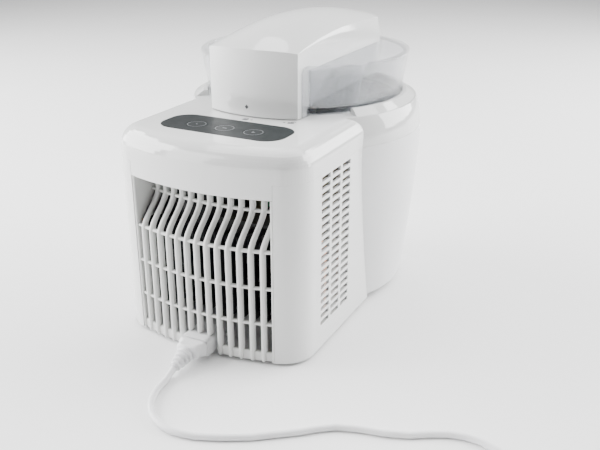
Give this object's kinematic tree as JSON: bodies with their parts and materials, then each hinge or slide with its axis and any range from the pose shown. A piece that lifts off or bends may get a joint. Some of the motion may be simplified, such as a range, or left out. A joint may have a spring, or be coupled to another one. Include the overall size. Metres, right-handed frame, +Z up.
{
  "type": "ice cream maker",
  "caption": "Compact compressor ice cream maker: a box with a slatted rear grille, a round barrel for the bowl, and a clear lid under a motor arm.",
  "frame": {"origin": "on the table, under the middle of the machine's bounding box, which is measured without the cord", "axes": "+Z up; +Y from the rear grille towards the barrel with the bowl; +X to the right when looking along +Y from behind the grille"},
  "size_m": [0.5002, 0.468, 0.293],
  "materials": {
    "white_gloss": "glossy moulded",
    "white_satin": "satin moulded",
    "grille_plastic": "satin moulded",
    "base_plastic": "matt moulded",
    "rubber": "matt",
    "zinc_steel": "zinc plated",
    "brushed_aluminium": "brushed",
    "dark_panel": "glossy",
    "black_plastic": "matt",
    "circuit_board": "satin",
    "copper": "drawn tube",
    "foam": "foam",
    "black_steel": "satin paint",
    "pin_brass": "plated",
    "clear_plastic": "clear moulded",
    "motor_steel": "plated",
    "white_nylon": "satin moulded",
    "cord_vinyl": "satin"
  },
  "bodies": {
    "base": {"top_cover": "white_gloss", "box_shell": "white_gloss", "barrel_shell": "white_satin", "rear_grille": "grille_plastic", "base_plate": "base_plastic", "feet": "rubber", "base_screws": "zinc_steel", "cover_screws": "zinc_steel", "deck_ring": "brushed_aluminium", "deck_contacts": "black_plastic", "control_panel": "dark_panel", "control_board": "circuit_board", "button_switches": "black_plastic", "board_screws": "zinc_steel", "cooling_well": "brushed_aluminium", "evaporator_coil": "copper", "insulation": "foam", "compressor": "black_steel", "compressor_mounts": "rubber", "start_relay": "black_plastic", "condenser": "black_steel", "fan_shroud": "black_plastic", "fan_motor": "black_plastic", "filter_drier": "copper", "refrigerant_pipes": "copper", "power_board": "circuit_board", "power_board_parts": "black_plastic", "mains_inlet": "white_satin", "inlet_pins": "pin_brass", "mains_connector": "cord_vinyl", "mains_cord": "cord_vinyl", "plug_lead": "cord_vinyl", "cord_coil": "cord_vinyl", "cord_tie": "black_plastic", "mains_plug": "cord_vinyl", "plug_pins": "pin_brass"},
    "lift_bush": {"shaft_bearing": "pin_brass"},
    "head": {"lid": "clear_plastic", "arm_top_shell": "white_gloss", "arm_bottom_shell": "white_gloss", "arm_screws": "zinc_steel", "arm_contacts": "black_plastic", "drive_motor": "motor_steel", "motor_screws": "zinc_steel"},
    "paddle": {"paddle": "white_nylon", "paddle_gear": "white_nylon", "paddle_shaft": "zinc_steel"},
    "pinion": {"motor_pinion": "black_plastic"},
    "bowl": {"bowl": "brushed_aluminium"},
    "fan": {"fan_wheel": "black_plastic"},
    "left_button": {"button_left": "dark_panel"},
    "middle_button": {"button_middle": "dark_panel"},
    "right_button": {"button_right": "dark_panel"}
  },
  "joints": [
    {"name": "head_lift", "type": "slide", "parent": "base", "child": "lift_bush", "axis": [0, 0, 1], "range_m": [0, 0.15]},
    {"name": "head_turn", "type": "hinge", "parent": "lift_bush", "child": "head", "pos_m": [0, 0.052, 0.22], "axis": [0, 0, 1], "range_deg": [0, 20]},
    {"name": "paddle_spin", "type": "hinge", "parent": "head", "child": "paddle", "pos_m": [0, 0.052, 0.22], "axis": [0, 0, 1], "continuous": true},
    {"name": "pinion_spin", "type": "hinge", "parent": "head", "child": "pinion", "pos_m": [0, 0.007, 0.27], "axis": [0, 0, 1], "continuous": true},
    {"name": "bowl_lift", "type": "slide", "parent": "base", "child": "bowl", "axis": [0, 0, 1], "range_m": [0, 0.075]},
    {"name": "fan_spin", "type": "hinge", "parent": "base", "child": "fan", "pos_m": [0.044, -0.11, 0.078], "axis": [0, 1, 0], "continuous": true},
    {"name": "press_left_button", "type": "slide", "parent": "base", "child": "left_button", "axis": [0, 0, -1], "range_m": [0, 0.0008], "stiffness_N_per_m": 500, "springref_m": -0.002},
    {"name": "press_middle_button", "type": "slide", "parent": "base", "child": "middle_button", "axis": [0, 0, -1], "range_m": [0, 0.0008], "stiffness_N_per_m": 500, "springref_m": -0.002},
    {"name": "press_right_button", "type": "slide", "parent": "base", "child": "right_button", "axis": [0, 0, -1], "range_m": [0, 0.0008], "stiffness_N_per_m": 500, "springref_m": -0.002}
  ],
  "couplings": [
    {"joint": "pinion_spin", "follows": "paddle_spin", "ratio": -5},
    {"joint": "bowl_lift", "follows": "head_lift", "ratio": 0.5}
  ]
}
